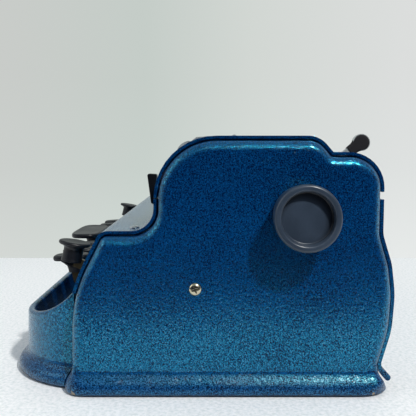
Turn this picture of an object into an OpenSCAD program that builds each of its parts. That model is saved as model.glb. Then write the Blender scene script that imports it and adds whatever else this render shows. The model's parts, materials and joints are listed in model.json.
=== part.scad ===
// Braille writer with six dot keys, a space key and two round end keys.
// Millimetres. +X is the user's right, -Y the front with the keys, +Z up.
// The origin is on the table, below the middle of the machine.

/* [Body] */
// Width over the flat faces of the two side covers
body_w = 350; // [340:1:362]
// Height of the side covers above the table
body_h = 145.8; // [143:0.1:150]
// Height of the rear deck, where the release levers stand
deck_h = 136.3; // [134:0.1:138]
// Height of the ledge above the keys
ledge_h = 90.2; // [89:0.1:92]
// Depth of each side cover casting, from face to inner rim
side_depth = 17; // [15:0.5:18]
// Wall of the side cover castings
side_wall = 3; // [2.5:0.1:3.5]
// Radius of the soft edge round each side cover's face
side_edge_r = 6; // [4:0.5:7]
// How far the skirt stands out from a side cover's face
skirt_out = 4.2; // [3:0.1:4.5]
// Height of the skirt along the foot of the side covers
skirt_h = 12.4; // [11:0.1:14]
// Thickness of the front, top and rear cover sheets
cover_t = 2; // [1.5:0.1:2.4]
// Gap between a side cover's rim and the cover sheets over it
cover_gap = 0.9; // [0.6:0.1:1.2]
// Width of the slot between the top and rear covers
margin_slot = 4.3; // [4:0.1:5]
// Width of the slot that the head lever runs in
head_slot = 7; // [6:0.5:8]
// Width of the slot that the paper leaves by
paper_slot = 8; // [7.5:0.1:9]
// Length of the paper slot
paper_slot_w = 276; // [250:1:278]

/* [Base] */
// Thickness of the base pan's floor
pan_t = 3; // [2:0.5:4]
// Thickness of the wall of the front lip
lip_t = 4.5; // [3.5:0.5:5]
// Outer corner radius of the front lip, seen from above
lip_r = 52; // [50:0.5:54]
// Height of the lip at the middle of the front
lip_h = 38.5; // [36:0.5:42]
// Radius of the sweep that cuts the lip's upper edge
lip_sweep_r = 50; // [48:1:56]
// Diameter of the rubber feet
foot_d = 18; // [12:1:24]
// How far the feet hold the covers off the table
foot_gap = 1; // [1:0.5:2]

/* [Keys] */
// Distance from one key to the next
key_pitch = 29; // [28:0.1:30]
// Distance from the middle to the first dot key
first_key = 53; // [52:0.5:54]
// Travel of a key about the key shaft, in degrees
key_travel = 6.5; // [5:0.5:7]
// Length of a dot key's cap
dot_cap_l = 23; // [20:0.5:24]
// Width of a dot key's cap
dot_cap_w = 17; // [14:0.5:19]
// Height of the top of the dot keys
dot_cap_h = 70.2; // [69:0.1:71]
// Forward tilt of the dot keys at rest, in degrees
dot_key_tilt = 3; // [1:0.5:4]
// Thickness of a flat key cap
cap_t = 3.5; // [3:0.1:4]
// Width of the space key
space_w = 70; // [60:1:76]
// Length of the space key
space_l = 23; // [20:0.5:24]
// Height of the top of the space key
space_h = 74.6; // [73:0.1:76]
// Radius of the two round keys
round_key_r = 9.7; // [9:0.1:10]
// Radius of the pedestal under a round key
pedestal_r = 6; // [5:0.1:7]
// Backward tilt of the round keys at rest, in degrees
round_key_tilt = 10; // [8:0.5:11]
// Thickness of the steel key levers
lever_t = 3; // [2:0.5:4]
// Radius of the key shaft
key_shaft_r = 4; // [3.5:0.1:4.5]

/* [Paper feed] */
// Radius of a paper feed knob
knob_r = 18.5; // [16:0.5:20]
// Length of a paper feed knob
knob_l = 20.5; // [18:0.5:22]
// Radius of the dished face of a knob
knob_dish_r = 14.6; // [12:0.1:15]
// Depth of the dished face of a knob
knob_dish = 4.2; // [3:0.1:6]
// Radius of the feed roller
roller_r = 11; // [10:0.5:12]
// Radius of the feed roller's shaft
roller_shaft_r = 4; // [3.5:0.1:4.5]
// Teeth on the line-space ratchet
ratchet_teeth = 20; // [16:1:24]
// Swing of a release lever, in degrees
release_swing = 45; // [40:1:48]
// Length of a release lever, shaft to knob
release_l = 32; // [31:0.5:33]
// Radius of the round end of a release lever
release_knob_r = 5.2; // [4.5:0.1:5.5]

/* [Embossing head] */
// Width of the head
head_w = 28; // [24:1:30]
// Travel of the head along its rails
head_travel = 230; // [216:1:234]
// Radius of the two rails
rail_r = 3; // [2.5:0.1:3.5]
// Radius of an embossing pin
pin_r = 0.8; // [0.7:0.05:0.9]
// Distance between the embossing bars
bar_pitch = 2.5; // [2.4:0.1:2.7]

/* [Handle] */
// Length of the carrying handle's grip
grip_l = 96; // [80:1:110]
// Distance from the handle's hinge to the grip
handle_reach = 37; // [35:0.5:39]

/* [Hidden] */
$fn = 48;
arc_n = 10;              // straight pieces in one round of an outline
fit = 0.05;              // running clearance of a shaft in its bore
face_x = body_w / 2;
rim_x = face_x - side_depth;            // inner rim of a side cover
sheet_x = rim_x + side_depth - 7;       // end of the cover sheets
plate_t = 3;
plate_x = rim_x - 4;                    // outer face of a frame plate
floor_z = foot_gap + 3 + pan_t;         // top of the pan's floor

// Stations of the side covers' outline, front to back
front_y = -69.5;
knee = [-69.5, 55.5];
ledge_y = -52.1;
brow_y = -19.7;
crest_y = 72.8;
dip_y = 80.9;
back_y = 109.5;
waist = [108.3, 90.7];
bulge_top = [113.4, 73.2];
bulge = [115.1, 56.1];
bulge_low = [113.2, 36.1];
heel = [105.8, 12.7];
brow_r = 34;
face_hub = [20, 50];                    // the side's whole outline can be seen from here
jaw_z = 112;                            // the paper passes here
split_front_z = jaw_z + 0.1;            // lower edge of the top cover, front
split_back_z = deck_h - 20.5;           // lower edge of the top cover, rear
sheet_out = cover_gap + cover_t;
toe_out = skirt_out + 0.4;              // reach of the skirt's front end
toe_y = front_y - toe_out;

// The flare at the foot, behind: an arc that runs on from the line above the heel, then a hem
heel_run = unit(bulge_low - heel);
flare_r = 9.9;
flare_at = heel + heel_run * 5.6 + flare_r * [heel_run[1], -heel_run[0]];
flare_from = atan2(heel_run[0], -heel_run[1]);
flare_to = 222;
hem_t = cover_t + 1.5;                  // thickness of the rear cover's folded edge
hem_l = 5;                              // its length below the arc

// Outline of a side cover, [y, z, radius], anticlockwise from the front foot
outline = [
    [front_y, foot_gap + 0.6, 2], [heel[0], foot_gap + 0.6, 2], [heel[0], heel[1], 4],
    [bulge_low[0], bulge_low[1], 48], [bulge[0], bulge[1], 58],
    [bulge_top[0], bulge_top[1], 29], [waist[0], waist[1], 18],
    [back_y, deck_h - 0.2, 17.6], [dip_y, deck_h, 3.2],
    [crest_y, body_h, 11.8], [brow_y, body_h, brow_r],
    [brow_y, ledge_h, 15.9], [ledge_y, ledge_h, 4.5], [knee[0], knee[1], 80],
];

// Axes that run along X, as [y, z]
key_axis = [1.8, 60.7];
roller_axis = [63.1, 103];
handle_pin_r = 0.9;
release_axis = [dip_y - 2.3, deck_h - 11.3];
rail_low = [22, 84];
rail_high = [22, 101];
margin_axis = [98, (split_back_z + split_back_z - margin_slot) / 2];
handle_axis = [30, body_h + sheet_out + 2.2];
release_lean = 39;                      // rest angle of the release levers
release_x = plate_x - plate_t - 4.5;

// Keys, from the left: line space, dots 3 2 1, space, dots 4 5 6, backspace
dot_x = [for (i = [0:2]) first_key + i * key_pitch];
round_x = first_key + 3 * key_pitch + 6;
dot_front_y = -93.8;
space_front_y = -100.3;
round_top = [-72.6, 84.3];
ledge_screw = [plate_x - plate_t / 2, -35.3];
screw_head_r = 3;                       // their round heads
dot_path = [key_axis, [-45, 53], [-64, 46], [-73, 47], [-77.5, 54], [-80, dot_cap_h - cap_t]];
space_path = [key_axis, [-45, 53], [-64, 46], [-76, 47], [-85, 57], [-88, space_h - cap_t]];
round_path = [key_axis, [-40, 62], [-61, 66.5], [-72.6, 72]];
arm_w = 6;
bar_y = [for (i = [0:5]) 30 + i * bar_pitch];
bar_h = 6;
bar_z = key_axis[1] - bar_h / 2;
tail_z = bar_z - 7.4;                   // the rear arms pass below the bars
bar_t = 1.2;
bar_half = 138;
pin_gap = 0.3;
pin_top = 111;

key_drop = (key_axis[0] - front_y) * sin(key_travel);

// Embossing head
head_x = head_travel / 2;               // rest position, at the right
stop_x = head_x - 15;                   // rest positions of the margin stops
jaw_gap = 2.5;
head_front = 16;
head_back = 50;
lever_z = 108.2;
lever_h = 4;

corner_x = face_x - 64;                 // centres of the lip's corners
corner_y = -57;
pan_half = corner_x + lip_r - lip_t - 3;
lip_front = corner_y - lip_r;
seam_y = front_y - 0.8;                 // where the lip ends, in front of the side covers

roller_half = plate_x - plate_t - 5;
knob_gap = 1.5;
knob_x = face_x + knob_gap;

blue = "#0d4f7c";
black = "#26262b";
steel = "#a9adb2";
chrome = "#d5d8dc";

// ---- outlines ----

function unit(v) = v / norm(v);
function turned(v, a) = [v[0] * cos(a) - v[1] * sin(a), v[0] * sin(a) + v[1] * cos(a)];
function cross2(a, b) = a[0] * b[1] - a[1] * b[0];
function yz(c) = [c[0], c[1]];

// An outline with every corner moved outward by d
function grown(cs, d) = [for (i = [0:len(cs) - 1])
    let (b = yz(cs[i]),
         u = unit(b - yz(cs[(i + len(cs) - 1) % len(cs)])),
         v = unit(yz(cs[(i + 1) % len(cs)]) - b),
         n = [u[1], -u[0]], m = [v[1], -v[0]],
         p = b + (n + m) * d / (1 + n * m),
         r = cs[i][2] + (cross2(u, v) > 0 ? d : -d))
    [p[0], p[1], max(r, 0.4)]];

// The points of an outline whose corners are rounded to their radii
function rounded(cs) = [for (i = [0:len(cs) - 1])
    let (b = yz(cs[i]),
         u = unit(yz(cs[(i + len(cs) - 1) % len(cs)]) - b),
         v = unit(yz(cs[(i + 1) % len(cs)]) - b),
         half = acos(u * v) / 2,
         centre = b + unit(u + v) * cs[i][2] / sin(half),
         start = b + u * cs[i][2] / tan(half) - centre,
         sweep = (180 - 2 * half) * (cross2(u, v) < 0 ? 1 : -1))
    for (k = [0:arc_n]) centre + turned(start, sweep * k / arc_n)];

// A band of the given width along a path
function band_side(path, w, side) = [for (i = [0:len(path) - 1])
    let (u = unit(path[max(i, 1)] - path[max(i, 1) - 1]),
         v = unit(path[min(i, len(path) - 2) + 1] - path[min(i, len(path) - 2)]),
         n = [-u[1], u[0]], m = [-v[1], v[0]])
    path[i] + side * (n + m) * w / 2 / (1 + n * m)];
function band(path, w) = concat(band_side(path, w, 1),
    [for (i = [len(path) - 1:-1:0]) band_side(path, w, -1)[i]]);

function box_ring(x0, x1, y0, y1, r) =
    rounded([[x0, y0, r], [x1, y0, r], [x1, y1, r], [x0, y1, r]]);
function at_z(ps, z) = [for (p = ps) [p[0], p[1], z]];
function at_x(ps, x) = [for (p = ps) [x, p[0], p[1]]];

// The front lip seen from above, of corner radius r
function lip_ring(r) = concat(
    [for (k = [0:arc_n]) let (a = 180 + 90 * k / arc_n) [-corner_x, corner_y] + r * [cos(a), sin(a)]],
    [for (k = [0:arc_n]) let (a = 270 + 90 * k / arc_n) [corner_x, corner_y] + r * [cos(a), sin(a)]],
    [[corner_x + r, corner_y + 5], [-corner_x - r, corner_y + 5]]);

// ---- building blocks ----

// A solid through rings of equally many points. Ends that aren't convex are closed
// round their hubs, two points from which the whole of the end ring can be seen
module loft(rings, hubs = []) {
    n = len(rings[0]);
    last = len(rings) - 1;
    hub = n * len(rings);
    polyhedron(
        points = concat([for (ring = rings) each ring], hubs),
        faces = concat(
            hubs == [] ? [[for (i = [0:n - 1]) i]] : [for (i = [0:n - 1]) [hub, i, (i + 1) % n]],
            hubs == [] ? [[for (i = [n - 1:-1:0]) last * n + i]]
                : [for (i = [0:n - 1]) [hub + 1, last * n + (i + 1) % n, last * n + i]],
            [for (k = [0:last - 1], i = [0:n - 1])
                [k * n + i, (k + 1) * n + i, (k + 1) * n + (i + 1) % n, k * n + (i + 1) % n]]),
        convexity = 8);
}

// A [y, z] outline drawn out along X
module slab(points, x0, x1) {
    translate([x0, 0, 0]) rotate([90, 0, 90]) linear_extrude(x1 - x0, convexity = 8) polygon(points);
}

module block(low, high) {
    translate(low) cube(high - low);
}

module rod_x(axis, r, x0, x1) {
    translate([x0, axis[0], axis[1]]) rotate([0, 90, 0]) cylinder(r = r, h = x1 - x0);
}

module rod_z(x, y, r, z0, z1) {
    translate([x, y, z0]) cylinder(r = r, h = z1 - z0);
}

module both_sides() {
    children();
    mirror([1, 0, 0]) children();
}

// ---- casing ----

// A side cover casting for the right: an open shell whose face has a soft edge,
// and a skirt along its foot
module side_cover() {
    inner = rounded(grown(outline, -side_wall));
    edge = [for (k = [0:4]) let (a = 90 * k / 4)
        [face_x - side_edge_r * (1 - sin(a)), -side_edge_r * (1 - cos(a))]];
    difference() {
        union() {
            loft(concat(
                [at_x(inner, face_x - side_wall), at_x(inner, rim_x), at_x(rounded(outline), rim_x)],
                [for (e = edge) at_x(rounded(grown(outline, e[1])), e[0])]),
                [[face_x - side_wall, face_hub[0], face_hub[1]], [face_x, face_hub[0], face_hub[1]]]);
            difference() {
                skirt(0);
                slab(rounded(grown(outline, -side_wall / 2)), rim_x - 1, face_x - side_wall / 2);
            }
        }
        rod_x(roller_axis, roller_shaft_r + 2, rim_x, face_x + 1);
        rod_x(key_axis, 2.2, rim_x, face_x + 1);
    }
}

// Share of its reach that the skirt has at a share of its height
skirt_steps = [[0, 0.6], [0.06, 0.9], [0.2, 1], [0.38, 0.92], [0.58, 0.66], [0.76, 0.34], [0.9, 0.1], [1, 0]];

// The rear end of the skirt at height z: the flare's arc, and a steeper line below it
function flare_y(z) = let (low = max(-flare_r * sin(flare_to - 180), z - flare_at[1]))
    flare_at[0] - sqrt(pow(flare_r, 2) - pow(low, 2)) + 0.65 * (low - (z - flare_at[1]));

// The skirt seen from above, with outer corners of radius r in front and rear_r behind
function skirt_ring(x1, y0, y1, r, rear_r, gap) = rounded([
    [rim_x + 0.2 - gap, y0 - gap, 1.5], [x1 + gap, y0 - gap, r],
    [x1 + gap, y1, rear_r], [rim_x + 0.2 - gap, y1, 1.5]]);

// The skirt with its ends, widened by a clearance
module skirt(gap) {
    loft(concat(
        [for (s = skirt_steps) at_z(skirt_ring(
            face_x + skirt_out * s[1] - 0.05, front_y - toe_out * s[1],
            flare_y(foot_gap + s[0] * skirt_h) - (s[0] < 0.1 ? 2 * (1 - s[1]) : 0),
            4 + 9 * s[1], 4 + 13.5 * s[1], gap), foot_gap + s[0] * skirt_h)],
        [at_z(skirt_ring(face_x - side_edge_r * 0.3, front_y + 1, heel[0] + 1.7, 4, 4, gap), heel[1] + 5.2)]));
}

// One sheet that follows the side covers' outline
module cover_sheet(x) {
    difference() {
        slab(rounded(grown(outline, sheet_out)), -x, x);
        slab(rounded(grown(outline, cover_gap)), -x - 1, x + 1);
    }
}

// A slot for a key lever that crosses the cover at the given height
module key_slot(x, height) {
    block([x - lever_t / 2 - 1.5, front_y - 12, height - arm_w / 2 - 2.5 - key_drop],
          [x + lever_t / 2 + 1.5, ledge_y, height + arm_w / 2 + 4]);
}

module front_cover() {
    color(blue) difference() {
        intersection() {
            cover_sheet(sheet_x);
            union() {
                block([-sheet_x, -200, lip_top_z()], [sheet_x, 0, split_front_z - 0.4]);
                block([-pan_half, -200, floor_z + 6], [pan_half, 0, split_front_z - 0.4]);
            }
        }
        for (s = [-1, 1], x = dot_x) key_slot(s * x, 46.5);
        key_slot(0, 47);
        for (s = [-1, 1]) key_slot(s * round_x, 69.8);
        block([-head_x - 20, -40, split_front_z - head_slot], [head_x + 20, 0, split_front_z + 1]);
        for (s = [-1, 1]) {
            rod_z(s * ledge_screw[0], ledge_screw[1], 1.5, ledge_h - 1, ledge_h + 9);
            rod_z(s * ledge_screw[0], ledge_screw[1], screw_head_r + 0.3, ledge_h + sheet_out, ledge_h + 9);
        }
    }
}

// Height of the lip's edge where it meets the side covers
function lip_top_z() = lip_h + lip_sweep_r - sqrt(pow(lip_sweep_r, 2) - pow(seam_y - lip_front, 2));

module top_cover() {
    slope = [(crest_y + dip_y) / 2, (body_h + deck_h) / 2];
    color(blue) difference() {
        intersection() {
            cover_sheet(sheet_x);
            union() {
                block([-sheet_x, -100, split_front_z], [sheet_x, 45, 200]);
                block([-sheet_x, 40, split_back_z], [sheet_x, 200, 200]);
            }
        }
        translate([0, slope[0], slope[1]]) rotate([-45, 0, 0])
            cube([paper_slot_w, paper_slot, 30], center = true);
        for (s = [-1, 1])
            block([s * release_x - 4.2, release_front(), deck_h - 6],
                  [s * release_x + 4.2, dip_y + 19, max(body_h, deck_h) + sheet_out + 1]);
        for (s = [-1, 1], dy = [-1, 1])
            rod_z(s * bracket_x(), handle_axis[0] + dy * 7, 1.3, body_h - 3, body_h + 9);
    }
}

// Front end of a release lever's slot, where the lever stands when it is swung up
function release_front() = release_axis[0] + 14 * cos(release_lean + release_swing) - 6;

module rear_cover() {
    down = [-sin(flare_to), cos(flare_to)];
    end = flare_point(cover_gap + hem_t / 2, flare_to) + (hem_l - hem_t / 2) * down;
    tail = concat(
        [for (k = [0:10]) flare_point(cover_gap, flare_from + (flare_to - flare_from) * k / 10)],
        [for (k = [0:8]) end + hem_t / 2 * [cos(flare_to + 22.5 * k), sin(flare_to + 22.5 * k)]],
        [for (k = [10:-1:0]) flare_point(cover_gap + cover_t + (hem_t - cover_t) * pow(k / 10, 2),
                                         flare_from + (flare_to - flare_from) * k / 10)]);
    color(blue) union() {
        intersection() {
            cover_sheet(sheet_x);
            block([-sheet_x, 50, flare_at[1] + 2], [sheet_x, 200, split_back_z - margin_slot]);
        }
        slab(tail, -sheet_x, sheet_x);
    }
}

// A point of the flare's arc, moved outward by d
function flare_point(d, a) = flare_at + (flare_r - d) * [cos(a), sin(a)];

// ---- base ----

module base_pan() {
    flange = [[0, 4.2], [1.5, 5.4], [3.5, 5.7], [6.5, 4.4], [9, 1.6], [10.5, 0.2]];
    hollow = lip_r - lip_t;
    color(blue) difference() {
        union() {
            intersection() {
                translate([0, 0, foot_gap]) linear_extrude(100) polygon(lip_ring(lip_r));
                block([-200, -200, foot_gap], [200, seam_y, 90]);
            }
            difference() {
                loft([for (f = flange) at_z(lip_ring(lip_r + f[1]), foot_gap + f[0])]);
                block([-200, seam_y, 0], [200, 100, 20]);
                both_sides() skirt(toe_gap);
            }
            block([-rim_x + 1, seam_y, foot_gap + 3], [rim_x - 1, heel[0] + cover_gap - 1, floor_z]);
            rod_z(drum_axis[0], drum_axis[1], 4, floor_z - 1, drum_z + 12);
            rod_z(drum_axis[0], drum_axis[1], 9, floor_z - 1, drum_z - 1);
            rod_z(hammer_axis[0], hammer_axis[1], 2.5, floor_z - 1, floor_z + 15);
            rod_z(hammer_axis[0], hammer_axis[1], 5, floor_z - 1, floor_z + 7);
        }
        translate([0, 0, floor_z]) linear_extrude(100) polygon(lip_ring(hollow));
        translate([0, 0, -1]) linear_extrude(foot_gap + 4) polygon(lip_ring(hollow));
        block([-200, seam_y - 0.01, floor_z], [200, 0, 90]);
        both_sides() skirt(toe_gap);
        rod_x([lip_front, lip_h + lip_sweep_r], lip_sweep_r, -200, 200);
        block([-200, lip_front - 20, lip_h], [200, lip_front, 100]);
        for (s = [-1, 1], y = foot_ys) rod_z(s * foot_x, y, 1.6, -1, floor_z + 1);
    }
}

toe_gap = 0.8;                          // from the flange's end to the skirt
foot_x = rim_x - 28;
foot_ys = [-48, 84];

module bottom_plate() {
    color(steel) difference() {
        block([-rim_x + 6, seam_y + 8, foot_gap + 1.2], [rim_x - 6, heel[0] - 6, foot_gap + 3]);
        for (s = [-1, 1], y = foot_ys) rod_z(s * foot_x, y, 2.1, -1, 10);
    }
}

module rubber_feet() {
    color(black) for (s = [-1, 1], y = foot_ys) difference() {
        rod_z(s * foot_x, y, foot_d / 2, 0, foot_gap + 1.2);
        rod_z(s * foot_x, y, 4.6, -1, foot_gap - 0.2);
    }
}

// Short screws that hold the bottom plate
module bottom_screws() {
    color(steel) for (s = [-1, 1], y = foot_ys) union() {
        rod_z(s * foot_x, y, 1.55, foot_gap + 1.2, floor_z + 1.5);
        rod_z(s * foot_x, y, 2.05, foot_gap + 1.2, foot_gap + 2.9);
    }
}

module side_screws() {
    color(chrome) both_sides() difference() {
        union() {
            rod_x(key_axis, 2, face_x - side_wall - 4.5, face_x);
            translate([face_x, key_axis[0], key_axis[1]]) rotate([0, 90, 0])
                rotate_extrude() polygon([[0, 0], [3.7, 0], [3.5, 0.6], [2.6, 1.3], [1.2, 1.6], [0, 1.6]]);
        }
        translate([face_x + 1.1, key_axis[0], key_axis[1]]) rotate([20, 0, 0]) {
            cube([1.6, 4.4, 0.9], center = true);
            cube([1.6, 0.9, 4.4], center = true);
        }
    }
}

// Round-headed screws that hold the front cover's ledge
module ledge_screws() {
    top = ledge_h + sheet_out;
    color(chrome) both_sides() difference() {
        union() {
            rod_z(ledge_screw[0], ledge_screw[1], 1.45, top - 5.5, top + 0.1);
            translate([ledge_screw[0], ledge_screw[1], top])
                rotate_extrude() polygon([[0, 0], [screw_head_r, 0], [screw_head_r - 0.1, 0.5],
                                          [screw_head_r - 0.8, 1.1], [1.1, 1.4], [0, 1.4]]);
        }
        translate([ledge_screw[0], ledge_screw[1], top + 1.3]) rotate(35) cube([7, 0.8, 1.2], center = true);
    }
}

// ---- frame ----

module frame_plate() {
    plate_top = max(min(body_h, deck_h + 9.5) - 7.8, release_axis[1] + 6);
    shape = [[-40, floor_z, 4], [96, floor_z, 4], [103, 70, 12], [103, deck_h - 12, 12], [66, plate_top, 14],
             [-6, plate_top, 14], [-8, ledge_h - 6, 14], [-40, ledge_h - 10, 12]];
    window = [[-20, 20, 8], [84, 20, 8], [84, 76, 12], [30, 76, 10], [22, 40, 10], [-20, 40, 8]];
    x0 = plate_x - plate_t;
    color(steel) difference() {
        union() {
            slab(rounded(shape), x0, plate_x);
            for (y = [-30, 80]) block([x0 - 12, y - 8, floor_z], [x0 + 0.5, y + 8, floor_z + 2.5]);
        }
        slab(rounded(window), x0 - 20, x0 + 20);
        rod_x(key_axis, key_shaft_r + 0.01, x0 - 1, plate_x + 1);
        rod_x(roller_axis, roller_shaft_r + fit, x0 - 1, plate_x + 1);
        rod_x(release_axis, 3 + fit, x0 - 1, plate_x + 1);
        for (a = [rail_low, rail_high]) rod_x(a, rail_r + 0.01, x0 - 1, plate_x + 1);
        rod_x(margin_axis, rail_r + 0.01, x0 - 1, plate_x + 1);
    }
}

tie_axes = [[-30, 30], [88, 92]];

module tie_rods() {
    half = plate_x - plate_t;
    color(steel) for (a = tie_axes) rod_x(a, 4, -half, half);
}

module key_shaft() {
    color(steel) difference() {
        rod_x(key_axis, key_shaft_r, -face_x + side_wall + 0.5, face_x - side_wall - 0.5);
        both_sides() rod_x(key_axis, 2.02, face_x - side_wall - 5, face_x);
    }
}

module key_springs() {
    color(steel) for (x = all_key_x()) difference() {
        rod_z(x, 20, 3, floor_z, tail_z - 3.4);
        rod_z(x, 20, 2.2, floor_z - 1, bar_z);
    }
}

function all_key_x() = concat([for (s = [-1, 1], x = dot_x) s * x], [0, round_x, -round_x]);

module head_rails() {
    half = plate_x;
    color(chrome) for (a = [rail_low, rail_high]) rod_x(a, rail_r, -half, half);
}

// Cell rack: one notch for each cell
module head_rack() {
    half = plate_x - plate_t;
    cell = 6.2;
    notches = floor((head_x * 2) / cell);
    rack = [head_front - 10, rail_high[1] - 3];     // front and top of the rack
    color(steel) difference() {
        block([-half, rack[0], rack[1] - 12], [half, rack[0] + 2.5, rack[1]]);
        for (i = [0:notches]) translate([-head_x + i * cell, rack[0] + 1, rack[1]])
            rotate([0, 45, 0]) cube([2.4, 6, 2.4], center = true);
    }
}

module margin_bar() {
    color(steel) rod_x(margin_axis, rail_r, -plate_x, plate_x);
}

bell_at = [-118, 62, 12];
bell_r = 20;

module bell() {
    color(chrome) translate(bell_at) union() {
        rotate_extrude() difference() {
            intersection() {
                circle(r = bell_r);
                translate([0, bell_r * 0.1]) square([bell_r + 1, bell_r]);
            }
            circle(r = bell_r - 1.6);
            translate([-30, -1]) square([30, 60]);
        }
        translate([0, 0, floor_z - bell_at[2]]) cylinder(r = 3, h = bell_r + 4 + bell_at[2] - floor_z);
        translate([0, 0, bell_r]) cylinder(r = 5, h = 3);
    }
}

hammer_axis = [bell_at[0] + 34, bell_at[1]];

module bell_hammer() {
    color(steel) difference() {
        union() {
            rod_z(hammer_axis[0], hammer_axis[1], 5, floor_z + 8, floor_z + 12);
            block([hammer_axis[0] - 9, hammer_axis[1] - 1.5, floor_z + 8],
                  [hammer_axis[0] - 3, hammer_axis[1] + 1.5, floor_z + 12]);
            rod_z(hammer_axis[0] - 10.2, hammer_axis[1], 2.8, floor_z + 7, floor_z + 13);
        }
        rod_z(hammer_axis[0], hammer_axis[1], 2.5 + fit, floor_z, floor_z + 20);
    }
}

drum_axis = [-70, 78];
drum_r = 22;
drum_z = 34;

// Mainspring drum that draws the head back
module spring_drum() {
    color(steel) difference() {
        union() {
            rod_z(drum_axis[0], drum_axis[1], drum_r, drum_z, drum_z + 10);
            rod_z(drum_axis[0], drum_axis[1], drum_r + 2, drum_z, drum_z + 2);
            rod_z(drum_axis[0], drum_axis[1], drum_r + 2, drum_z + 8, drum_z + 10);
        }
        rod_z(drum_axis[0], drum_axis[1], 4 + fit, drum_z - 1, drum_z + 11);
        for (a = [0:60:300]) rotate_about(drum_axis, a)
            rod_z(drum_axis[0] + 13, drum_axis[1], 4, drum_z - 1, drum_z + 11);
    }
}

module rotate_about(p, a) {
    translate([p[0], p[1], 0]) rotate(a) translate([-p[0], -p[1], 0]) children();
}

// Curved plate that leads the paper round the roller
module paper_guide() {
    half = plate_x - plate_t;
    inner = roller_r + 2.2;
    color(steel) difference() {
        rod_x(roller_axis, inner + 1.5, -half, half);
        rod_x(roller_axis, inner, -half - 1, half + 1);
        block([-200, roller_axis[0] - 40, roller_axis[1] - 7],
              [200, roller_axis[0] + 40, roller_axis[1] + 40]);
    }
}

// ---- handle ----

function bracket_x() = grip_l / 2 + 5;

module handle_brackets() {
    color(chrome) both_sides() union() {
        difference() {
            union() {
                block([bracket_x() - 2.5, handle_axis[0] - 10, body_h + sheet_out],
                      [bracket_x() + 2.5, handle_axis[0] + 10, body_h + sheet_out + 1]);
                rod_x(handle_axis, 2.1, bracket_x() - 2.5, bracket_x() + 2.5);
            }
            block([0, 0, 0], [200, 100, body_h + sheet_out]);
        }
        rod_x(handle_axis, handle_pin_r, bracket_x() - 9, bracket_x());
        for (dy = [-1, 1])
            rod_z(bracket_x(), handle_axis[0] + dy * 7, 1.28, body_h - 1, body_h + sheet_out + 1.8);
    }
}

// The bail: two flat legs on the hinge pins and a half-round grip over the brow
module handle() {
    grip = [handle_axis[0] - handle_reach, brow_top(handle_axis[0] - handle_reach) + 0.4];
    leg = [handle_axis, handle_axis - [20, 0], handle_axis - [28.5, 0.8], grip + [3.2, 3.6]];
    tilt = brow_slope(grip[0]);
    color(chrome) difference() {
        union() {
            both_sides() {
                slab(band(leg, 2.2), bracket_x() - 7, bracket_x() - 3.5);
                rod_x(handle_axis, 1.85, bracket_x() - 7, bracket_x() - 3.5);
            }
            translate([0, grip[0], grip[1]]) rotate([tilt, 0, 0])
                slab([for (k = [0:12]) [7.5 * cos(15 * k), 0.2 + 4.7 * sin(15 * k)]],
                     -bracket_x() + 3.5, bracket_x() - 3.5);
        }
        both_sides() rod_x(handle_axis, handle_pin_r + fit, bracket_x() - 10, bracket_x());
    }
}

// Height and slope of the outside of the top cover along the brow
function brow_top(y) = body_h - brow_r + sqrt(pow(brow_r + sheet_out, 2) - pow(y - brow_y - brow_r, 2));
function brow_slope(y) = asin((brow_y + brow_r - y) / (brow_r + sheet_out));

// ---- paper feed ----

module feed_roller() {
    color(black) union() {
        rod_x(roller_axis, roller_shaft_r, -knob_x - 12, knob_x + 12);
        rod_x(roller_axis, roller_r, -roller_half, roller_half);
        both_sides() rod_x(roller_axis, roller_shaft_r + 3, plate_x + 4, plate_x + 7);
    }
}

module ratchet_wheel() {
    color(steel) difference() {
        slab([for (i = [0:ratchet_teeth - 1], k = [0:1]) let (a = 360 * (i + k * 0.8) / ratchet_teeth)
              roller_axis + (k == 0 ? 15.5 : 13) * [cos(a), sin(a)]], plate_x + 0.6, plate_x + 4);
        rod_x(roller_axis, roller_shaft_r, plate_x, plate_x + 5);
    }
}

// A feed knob with a plain dished face
module feed_knob() {
    l = knob_l;
    color(black) translate([knob_x, roller_axis[0], roller_axis[1]]) rotate([0, 90, 0]) difference() {
        rotate_extrude($fn = 96) polygon([
            [0, 0], [knob_r - 2.2, 0], [knob_r - 1.2, 0.8], [knob_r - 0.9, l - 6], [knob_r, l - 4.6],
            [knob_r, l - 1.6], [knob_r - 0.5, l - 0.5], [knob_r - 1.5, l], [knob_dish_r + 1.4, l],
            [knob_dish_r + 0.5, l - 0.6], [knob_dish_r, l - 1.6],
            [knob_dish_r - 0.5, l - knob_dish], [0, l - knob_dish]]);
        translate([0, 0, -1]) cylinder(r = roller_shaft_r, h = 13);
        translate([0, 0, 6]) rotate([0, 90, 0]) cylinder(r = 1.6, h = knob_r + 1);
    }
}

module release_lever() {
    tip = release_axis + release_l * [cos(release_lean), sin(release_lean)];
    lip = release_axis - 9 * [cos(release_lean - 35), sin(release_lean - 35)];
    color(black) translate([release_x, 0, 0]) union() {
        difference() {
            union() {
                slab(band([release_axis, tip], 5.6), -2, 2);
                rod_x(tip, release_knob_r, -2, 2);
                slab(band([release_axis, lip], 5), -2, 2);
            }
            rod_x(release_axis, 2.5, -3, 3);
        }
        rod_x(release_axis, 5.5, -3, 3);
        rod_x(release_axis, 3, -3, plate_x - release_x + 3);
    }
}

// ---- margin stops ----

module margin_stop(x) {
    color(black) difference() {
        union() {
            block([x - 6, margin_axis[0] - 6, margin_axis[1] - 6],
                  [x + 6, margin_axis[0] + 5, margin_axis[1] + 6]);
            block([x - 4, margin_axis[0], margin_axis[1] - 1.3],
                  [x + 4, back_y + sheet_out + 2, margin_axis[1] + 1.3]);
            block([x - 7, back_y + sheet_out + 0.9, margin_axis[1] - 5],
                  [x + 7, bulge[0] + sheet_out - 0.4, margin_axis[1] + 5]);
        }
        rod_x(margin_axis, rail_r + fit, x - 10, x + 10);
    }
}

// ---- embossing head ----

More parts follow.
